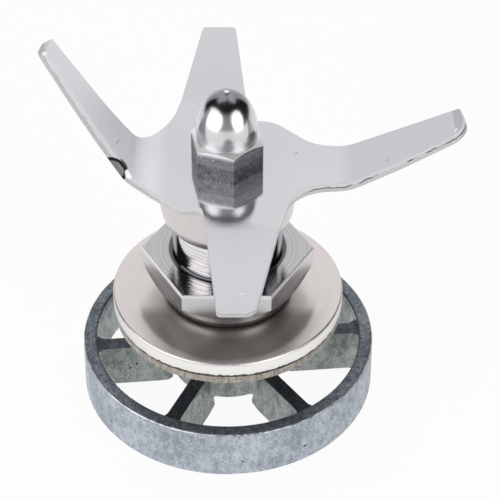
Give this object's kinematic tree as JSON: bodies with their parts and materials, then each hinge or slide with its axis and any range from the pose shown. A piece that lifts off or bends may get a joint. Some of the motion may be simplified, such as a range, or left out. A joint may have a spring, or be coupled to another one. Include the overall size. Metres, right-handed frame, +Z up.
{
  "type": "blender blade assembly",
  "caption": "Blade assembly of a blender jar: bent cutting blade under a dome nut on a spindle, bearing housing with hexagon, flange disc and gasket, screwed into a ribbed cast retainer nut.",
  "frame": {"origin": "on the spindle axis, level with the foot of the retainer nut", "axes": "+Z up along the spindle, from the drive end towards the dome nut; +X along the long blade arm that is bent up least, with the steep long arm towards -X"},
  "size_m": [0.0815, 0.0817, 0.0845],
  "materials": {
    "die_cast": "raw die-cast grey, mottled, worn at the edges",
    "gasket_fibre": "matt, beige grey",
    "nickel_plate": "satin nickel plate over brass",
    "black_rubber": "matt black",
    "turned_stainless": "polished, with fine turning rings",
    "blade_steel": "tumbled bright, ground edges",
    "cap_stainless": "satin, turned",
    "nut_steel": "drawn hexagon, polished dome",
    "spindle_steel": "ground",
    "spring_steel": "bright rolled strip and wire",
    "bearing_steel": "ground and polished",
    "cage_brass": "turned"
  },
  "bodies": {
    "nut_body": {"retainer_nut": "die_cast"},
    "gasket_body": {"gasket": "gasket_fibre"},
    "housing_body": {"bearing_housing": "turned_stainless", "flange_disc": "nickel_plate", "o_ring": "black_rubber", "lip_seal": "black_rubber", "seal_spring": "spring_steel", "housing_circlip": "spring_steel", "upper_outer_race": "bearing_steel", "lower_outer_race": "bearing_steel", "upper_top_shield": "spring_steel", "upper_bottom_shield": "spring_steel", "lower_top_shield": "spring_steel", "lower_bottom_shield": "spring_steel"},
    "rotor_body": {"acorn_nut": "nut_steel", "blade": "blade_steel", "slinger_cap": "cap_stainless", "drive_shaft": "spindle_steel", "spacer_sleeve": "spindle_steel", "upper_inner_race": "bearing_steel", "lower_inner_race": "bearing_steel"},
    "upper_ball_set": {"upper_balls": "bearing_steel", "upper_cage": "cage_brass"},
    "lower_ball_set": {"lower_balls": "bearing_steel", "lower_cage": "cage_brass"}
  },
  "joints": [
    {"name": "housing_rise", "type": "slide", "parent": "nut_body", "child": "gasket_body", "axis": [0, 0, 1], "range_m": [0, 0.00601]},
    {"name": "housing_unscrew", "type": "hinge", "parent": "gasket_body", "child": "housing_body", "pos_m": [0, 0, 0.01], "axis": [0, 0, 1], "range_deg": [0, 1440]},
    {"name": "blade_spin", "type": "hinge", "parent": "housing_body", "child": "rotor_body", "pos_m": [0, 0, 0.05], "axis": [0, 0, 1], "continuous": true},
    {"name": "upper_cage_spin", "type": "hinge", "parent": "housing_body", "child": "upper_ball_set", "pos_m": [0, 0, 0.042], "axis": [0, 0, 1], "continuous": true},
    {"name": "lower_cage_spin", "type": "hinge", "parent": "housing_body", "child": "lower_ball_set", "pos_m": [0, 0, 0.0285], "axis": [0, 0, 1], "continuous": true}
  ],
  "couplings": [
    {"joint": "housing_rise", "follows": "housing_unscrew", "m_per_rad": 0.00023873},
    {"joint": "upper_cage_spin", "follows": "blade_spin", "ratio": 0.38148},
    {"joint": "lower_cage_spin", "follows": "blade_spin", "ratio": 0.38148}
  ]
}
